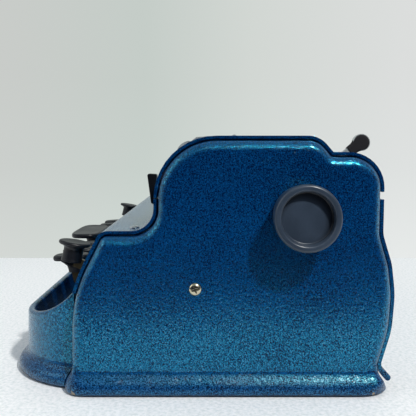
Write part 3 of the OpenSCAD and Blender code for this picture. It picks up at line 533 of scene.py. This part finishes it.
def base_pan():
    bm = bmesh.new()
    # The lip's wall: offset from its outer face, and a height or a drop below its rim
    wall = [(0.0, 6, 0), (0.0, 12, 0), (0.0, 24, 0), (0.0, None, -2.4), (-0.12, None, -1.6),
            (-0.5, None, -0.9), (-1.2, None, -0.3), (-2.25, None, 0.0), (-3.3, None, -0.3),
            (-4.0, None, -0.9), (-4.38, None, -1.6), (-4.5, None, -2.4), (-4.5, 22, 0), (-4.5, 12, 0),
            (-4.2, 8.6, 0), (-3.2, 7.4, 0), (-1.6, 6, 0)]
    rings = []
    for x, y, nx, ny in lip_stations(-70.3):
        ring = []
        top = rim_z(y + ny * (LIP_R - LIP_T / 2))
        for off, z, down in wall:
            r = LIP_R + off
            ring.append((x + nx * r, y + ny * r, top + down if z is None else z))
        rings.append(ring)
    lofted(bm, rings)
    # The rolled flange round its foot: offset and height
    roll = [(-2.0, 1.0), (3.9, 1.0), (4.5, 1.2), (5.05, 1.8), (5.45, 2.7), (5.65, 3.8), (5.65, 4.9),
            (5.45, 5.9), (5.0, 6.9), (4.3, 7.8), (3.45, 8.6), (2.55, 9.3), (1.75, 10.0), (1.1, 10.8),
            (0.6, 11.7), (0.2, 12.9), (-0.2, 14.4), (-0.6, 16.0), (-2.0, 16.0)]
    columns = []
    for off, z in roll:
        columns.append([(x + nx * (LIP_R + off), y + ny * (LIP_R + off), z)
                        for x, y, nx, ny in lip_stations(flange_end(z), radius=LIP_R + off)])
    lofted(bm, [list(ring) for ring in zip(*columns)])
    inside = [(x + nx * (LIP_R - 2), y + ny * (LIP_R - 2)) for x, y, nx, ny in lip_stations(-71.0, 12)]
    plan = inside + [(-156.8, -70.3), (-156.8, 105.6), (156.8, 105.6), (156.8, -70.3)]
    lofted(bm, [[(x, y, z) for x, y in plan] for z in (4, FLOOR_Z)])
    # Posts for the mainspring drum and the bell hammer
    for x, y, shoulder, post, foot_top, top in ((-70, 78, 9, 4, 33, 46), (-84, 62, 5, 2.5, 14, 22)):
        profile = [(0, 6), (shoulder + 1.5, 6), (shoulder, 9), (shoulder, foot_top - 0.6),
                   (shoulder - 0.6, foot_top), (post, foot_top), (post, top - 0.5), (post - 0.5, top),
                   (0, top)]
        lathed(bm, profile, Matrix.Translation((x, y, 0)), 48)
    return piece("base_pan_casting", to_mesh("base_pan", bm), ENAMEL, "base_pan", crease=50)


base_pan()

# ---------------------------------------------------------------- knobs


def feed_knob(side):
    """A turned knob with a collar at its outer end and a dished face."""
    x = side * KNOB_X
    turn = Matrix.Translation((x, *ROLLER)) @ Matrix.Rotation(side * math.pi / 2, 4, "Y")
    r, dish, length, deep = 18.5, 14.6, 20.5, 5.4
    floor = length - deep
    profile = [(0, 0), (r - 2.4, 0), (r - 1.5, 0.35), (r - 1.2, 1.1), (r - 0.9, 6),
               (r - 0.85, length - 6.6), (r - 0.6, length - 5.6), (r - 0.15, length - 4.9),
               (r, length - 4.2), (r, length - 1.7), (r - 0.15, length - 1.0), (r - 0.5, length - 0.4),
               (r - 1.1, length - 0.05), (r - 1.6, length), (dish + 1.3, length),
               (dish + 0.75, length - 0.15), (dish + 0.35, length - 0.5), (dish + 0.1, length - 1.1),
               (dish - 0.25, floor + 0.8), (dish - 0.5, floor + 0.25), (dish - 1.0, floor),
               (dish * 0.5, floor + 0.1), (0, floor + 0.12)]
    bm = bmesh.new()
    lathed(bm, profile, turn, 128)
    name = side_name(side) + "_feed_knob"
    return piece(name + "_moulding", to_mesh(name, bm), KNOB, name, crease=42)


for hand in (1, -1):
    feed_knob(hand)

dressed("feed_roller", STEEL, 0.3, pick=(
    lambda c: int(math.hypot(c.y - ROLLER[0], c.z - ROLLER[1]) > 10 and abs(c.x) < 147), ROLLER_RUBBER))
dressed("ratchet_wheel", STEEL, 0.1)

# ---------------------------------------------------------------- release levers


def release_lever(side):
    """The steel lever and the rubber sleeve dipped over its free end."""
    lean = math.radians(39)
    along, across = (math.cos(lean), math.sin(lean)), (-math.sin(lean), math.cos(lean))
    length, knob = 32.0, 5.15
    # Sleeve outline in (along, across): a stem that widens smoothly into a round end
    edge = [(22.6, 2.9), (22.9, 3.15), (23.6, 3.25), (24.8, 3.25), (26.2, 3.3), (27.3, 3.45),
            (28.1, 3.75), (28.6, 4.1)]
    start = math.radians(126)
    ball = [(length + knob * math.cos(start * (1 - k / 12)), knob * math.sin(start * (1 - k / 12)))
            for k in range(13)]
    half = edge + ball
    shape = half + [(u, -v) for u, v in reversed(half[:-1])]
    x = side * 146.5
    rings = []
    for dx, inset in ((-2.5, 1.5), (-2.35, 0.75), (-1.9, 0.25), (-1.2, 0.0), (1.2, 0.0), (1.9, 0.25),
                      (2.35, 0.75), (2.5, 1.5)):
        ring = []
        for u, v in shape:
            centre = (min(max(u, 23.4), length), 0.0)
            d = Vector((u - centre[0], v))
            d = d * max(0.0, (d.length - inset) / d.length) if d.length else d
            u2, v2 = centre[0] + d.x, d.y
            ring.append((x + dx, RELEASE[0] + along[0] * u2 + across[0] * v2,
                         RELEASE[1] + along[1] * u2 + across[1] * v2))
        rings.append(ring)
    bm = bmesh.new()
    lofted(bm, rings)
    name = side_name(side)
    piece(name + "_release_sleeve", to_mesh("sleeve", bm), RUBBER, body=name + "_release", crease=60)
    dressed(name + "_release_lever", HANDLE, 0.3)


for hand in (1, -1):
    release_lever(hand)

# ---------------------------------------------------------------- key caps


def ellipse_box(x0, x1, y0, y1, power, z, steps=56):
    """A superellipse ring: power 2 is an ellipse, more is squarer."""
    out = []
    for k in range(steps):
        a = 2 * math.pi * k / steps
        c, s = math.cos(a), math.sin(a)
        out.append(((x0 + x1) / 2 + (x1 - x0) / 2 * math.copysign(abs(c) ** (2 / power), c),
                    (y0 + y1) / 2 + (y1 - y0) / 2 * math.copysign(abs(s) ** (2 / power), s), z))
    return out


def flat_cap(name, x, front, length, width, top, power, root_y, dish, root_half, tilt):
    """A thumbed-over pad with a soft rim, on a wedge that narrows down to the lever."""
    back, low = front + length, -3.5
    bm = bmesh.new()
    rings = [(low, 1.6), (low + 0.15, 0.7), (low + 0.6, 0.2), (low + 1.3, 0.0), (-1.3, 0.0),
             (-0.7, 0.15), (-0.25, 0.55), (0, 1.2), (-0.05, 1.9), (-dish * 0.45, 3.6),
             (-dish * 0.85, 5.6), (-dish, 7.2)]
    rows = lofted(bm, [ellipse_box(x - width / 2 + d, x + width / 2 - d, front + d, back - d,
                                   power if d < 5 else max(2.2, power - 0.8), z) for z, d in rings])
    turn = Matrix.Translation(Vector((0, root_y, top)) * MM) @ Matrix.Rotation(math.radians(tilt), 4, "X") \
        @ Matrix.Translation(Vector((0, -root_y, 0)) * MM)
    bmesh.ops.transform(bm, matrix=turn, verts=[v for row in rows for v in row])
    low += top
    wedge = [(low - 8.5, 3.0, -4.2, 4.2), (low - 6.5, 3.2, -4.6, 4.4), (low - 4.2, 3.6, -5.4, 4.8),
             (low - 2.6, 4.4, -7.4, 5.6), (low - 1.2, 5.8, -9.4, 6.8), (low + 0.6, root_half, -11.6, 8.0)]
    lofted(bm, [ellipse_box(x - half, x + half, max(root_y + a, front + 1.6),
                            min(root_y + b, back - 1.2), 3.2, z) for z, half, a, b in wedge])
    return piece(name + "_moulding", to_mesh(name, bm), CAPS, name, crease=60)


for i in range(6):
    x = -DOT_X[i] if i < 3 else DOT_X[i - 3]
    flat_cap("key_%d_cap" % (i + 1), x, -93.8, 23, 17, 71.0, 3.4, -79.4, 0.5, 6.4, 3)
flat_cap("space_key_cap", 0, -100.3, 23, 70, 74.6, 4.2, -87.0, 0.6, 9.0, 0)


def round_cap(side):
    """A round dished cap on a short stem."""
    h = 12.6
    tilt = Matrix.Translation((side * ROUND_X, -72.6, 84.3)) @ Matrix.Rotation(math.radians(-10), 4, "X")
    profile = [(0, -h), (6.0, -h), (6.5, -h + 0.25), (6.6, -h + 0.8), (6.5, -h + 1.3), (6.25, -h + 2.2),
               (6.05, -6.4), (6.0, -4.8), (6.2, -3.8), (6.9, -3.0), (8.2, -2.55), (9.1, -2.3), (9.5, -1.9),
               (9.7, -1.4), (9.65, -0.85), (9.35, -0.35), (8.8, -0.08), (8.1, 0.0), (7.2, -0.1),
               (5.0, -0.33), (2.4, -0.46), (0, -0.48)]
    bm = bmesh.new()
    lathed(bm, profile, tilt, 72)
    name = "backspace_key_cap" if side > 0 else "line_space_key_cap"
    return piece(name + "_moulding", to_mesh(name, bm), CAPS, name, crease=42)


for hand in (1, -1):
    round_cap(hand)
for i in range(1, 7):
    dressed("key_%d_lever" % i, LEVER_STEEL, 0.25)
for key in ("space_key", "backspace_key", "line_space_key"):
    dressed(key + "_lever", LEVER_STEEL, 0.25)

# ---------------------------------------------------------------- screws, handle, head and the rest

dressed("side_screws", SCREW, 0.08)
dressed("ledge_screws", CHROME, 0.08)
dressed("bottom_screws", STEEL, 0.15)
dressed("rubber_feet", RUBBER, 0.5)
dressed("bottom_plate", STEEL, 0.2)
dressed("handle", HANDLE, 0.5, segments=3)
dressed("handle_brackets", HANDLE, 0.2)
dressed("head_lever", BLACK_PAINT, 0.7, segments=3)
dressed("head_block", STEEL, 0.5)
dressed("head_jaw", CHROME, 0.6)
for i in range(1, 7):
    dressed("embossing_pin_%d" % i, CHROME, 0.15)
for node in ("right_frame_plate", "left_frame_plate", "tie_rods", "key_shaft", "head_rack", "paper_guide",
             "bell_hammer"):
    dressed(node, STEEL, 0.25)
dressed("head_rails", CHROME, 0.3)
dressed("margin_bar", CHROME, 0.3)
dressed("bell", CHROME, 0.2)
dressed("spring_drum", BRASS, 0.4)
for node in ("right_margin_stop", "left_margin_stop"):
    dressed(node, BLACK_PAINT, 0.6, segments=3)


def key_springs():
    """Coil springs under the rear arms of the keys."""
    bm = bmesh.new()
    wire, radius, low, high, turns, y = 0.45, 2.5, FLOOR_Z + 0.5, 46.4, 16, 20
    places = [s * x for x in DOT_X + (ROUND_X,) for s in (-1, 1)] + [0]
    steps, around = turns * 14, 8
    for x0 in places:
        rings = []
        for k in range(steps + 1):
            a = 2 * math.pi * turns * k / steps
            z = low + (high - low) * k / steps
            out = Vector((math.cos(a), math.sin(a), 0))
            centre = Vector((x0, y, z)) + out * radius
            rings.append([centre + (out * math.cos(b) + Vector((0, 0, 1)) * math.sin(b)) * wire
                          for b in (2 * math.pi * j / around for j in range(around))])
        lofted(bm, rings)
    return piece("key_springs_coiled", to_mesh("springs", bm), STEEL, "key_springs", crease=60,
                 weighted=False)


key_springs()

# ---------------------------------------------------------------- table, light and camera


def stage():
    s = Shader("table_white", rgb(238, 240, 240), 0.55, 0.0, Specular_IOR_Level=0.3)
    grain = s.noise(420, 3.0, 0.6)
    s.set("Base Color", s.ramp(grain, (0.30, rgb(226, 232, 232)), (0.62, rgb(255, 255, 255))))
    s.bump(grain, 0.35, 0.5)
    mesh = bpy.data.meshes.new("table")
    near, far, half = 0.335, -0.309, 2.5
    mesh.from_pydata([(far, -half, 0), (near, -half, 0), (near, half, 0), (far, half, 0)], [],
                     [(0, 1, 2, 3)])
    mesh.materials.append(s.mat)
    table = bpy.data.objects.new("table", mesh)
    bpy.context.scene.collection.objects.link(table)


def world():
    """A pale wall behind the object; the room opposite it, which only lights, is darker."""
    room_world = bpy.data.worlds.new("room")
    bpy.context.scene.world = room_world
    room_world.use_nodes = True
    tree = room_world.node_tree
    tree.nodes.clear()
    add, link = tree.nodes.new, tree.links.new
    coords = add("ShaderNodeTexCoord")
    split = add("ShaderNodeSeparateXYZ")
    link(coords.outputs["Generated"], split.inputs[0])

    def ramp(value, low, high, *stops):
        spread = add("ShaderNodeMapRange")
        spread.inputs["From Min"].default_value = low
        spread.inputs["From Max"].default_value = high
        link(value, spread.inputs["Value"])
        node = add("ShaderNodeValToRGB")
        while len(node.color_ramp.elements) < len(stops):
            node.color_ramp.elements.new(0.5)
        for element, (place, colour) in zip(node.color_ramp.elements, stops):
            element.position, element.color = place, colour
        link(spread.outputs[0], node.inputs[0])
        return node.outputs[0]

    def mix(amount, a, b, blend="MIX"):
        node = add("ShaderNodeMix")
        node.data_type, node.blend_type = "RGBA", blend
        for key, value in ((0, amount), (6, a), (7, b)):
            if isinstance(value, bpy.types.NodeSocket):
                link(value, node.inputs[key])
            else:
                node.inputs[key].default_value = value
        return node.outputs[2]

    wall = ramp(split.outputs["Y"], -0.3, 0.3, (0.0, rgb(203, 207, 204)), (0.35, rgb(199, 208, 203)),
                (0.62, rgb(212, 218, 214)), (1.0, rgb(222, 225, 224)))
    lift = ramp(split.outputs["Z"], -0.16, 0.12, (0.0, (1.1, 1.1, 1.1, 1.0)), (0.5, rgb(255, 255, 255)),
                (1.0, rgb(252, 251, 251)))
    seen = mix(1.0, wall, lift, "MULTIPLY")
    # The tabletop runs on past the edges of its mesh
    under = ramp(split.outputs["Z"], -0.24, -0.18, (0.0, (1.0, 1.0, 1.0, 1.0)), (1.0, (0.0, 0.0, 0.0, 1.0)))
    around = mix(under, seen, rgb(229, 235, 237))
    depth = ramp(split.outputs["X"], -1.0, 1.0, (0.0, rgb(255, 255, 255)), (0.50, rgb(225, 228, 232)),
                 (0.66, rgb(70, 84, 108)), (0.8, rgb(32, 44, 68)), (1.0, rgb(26, 38, 60)))
    above = ramp(split.outputs["Z"], 0.0, 1.0, (0.28, (0.0, 0.0, 0.0, 1.0)), (0.60, (1.0, 1.0, 1.0, 1.0)))
    mirrored = mix(1.0, seen, mix(above, depth, rgb(188, 196, 202)), "MULTIPLY")
    room = ramp(split.outputs["X"], -1.0, 1.0, (0.0, rgb(238, 242, 242)), (0.42, rgb(208, 213, 215)),
                (0.72, rgb(94, 103, 117)), (1.0, rgb(70, 80, 96)))
    path = add("ShaderNodeLightPath")
    sharp = add("ShaderNodeMath")
    sharp.operation = "MAXIMUM"
    link(path.outputs["Is Glossy Ray"], sharp.inputs[0])
    link(path.outputs["Is Transmission Ray"], sharp.inputs[1])
    background = add("ShaderNodeBackground")
    lighting = mix(sharp.outputs[0], room, mirrored)
    link(mix(path.outputs["Is Camera Ray"], lighting, around), background.inputs[0])
    background.inputs[1].default_value = 1.0
    out = add("ShaderNodeOutputWorld")
    link(background.outputs[0], out.inputs[0])


def lamp(name, towards, direction, distance, size, power, colour=(1, 1, 1)):
    data = bpy.data.lights.new(name, "AREA")
    data.shape, data.size, data.energy, data.color = "DISK", size, power, colour
    obj = bpy.data.objects.new(name, data)
    travel = Vector(direction).normalized()
    obj.location = Vector(towards) - travel * distance
    obj.rotation_euler = travel.to_track_quat("-Z", "Y").to_euler()
    bpy.context.scene.collection.objects.link(obj)


def camera():
    """Level, and square on to the right side; the sizes in pixels are those of a square image."""
    image, focal, off_x, off_y, sensor = 416, 634, 5, -53, 36.0
    data = bpy.data.cameras.new("camera")
    data.sensor_width = sensor
    data.lens = sensor * focal / image
    data.shift_x, data.shift_y = off_x / image, off_y / image
    data.clip_start, data.clip_end = 0.01, 20
    obj = bpy.data.objects.new("camera", data)
    obj.location = (0.537, 0.00625, 0.1374)
    obj.rotation_euler = (math.radians(90), 0, math.radians(90))
    bpy.context.scene.collection.objects.link(obj)
    bpy.context.scene.camera = obj


stage()
world()
lamp("key", (0.17, 0.02, 0.08), (-20, -12.3, -23.6), 2.6, 0.19, 56, (1.0, 0.99, 0.97))
lamp("fill", (0.1, 0.0, 0.1), (-0.25, 0.85, -0.5), 1.6, 1.2, 4, (0.94, 0.97, 1.0))
camera()
bpy.context.scene.view_settings.view_transform = "Standard"
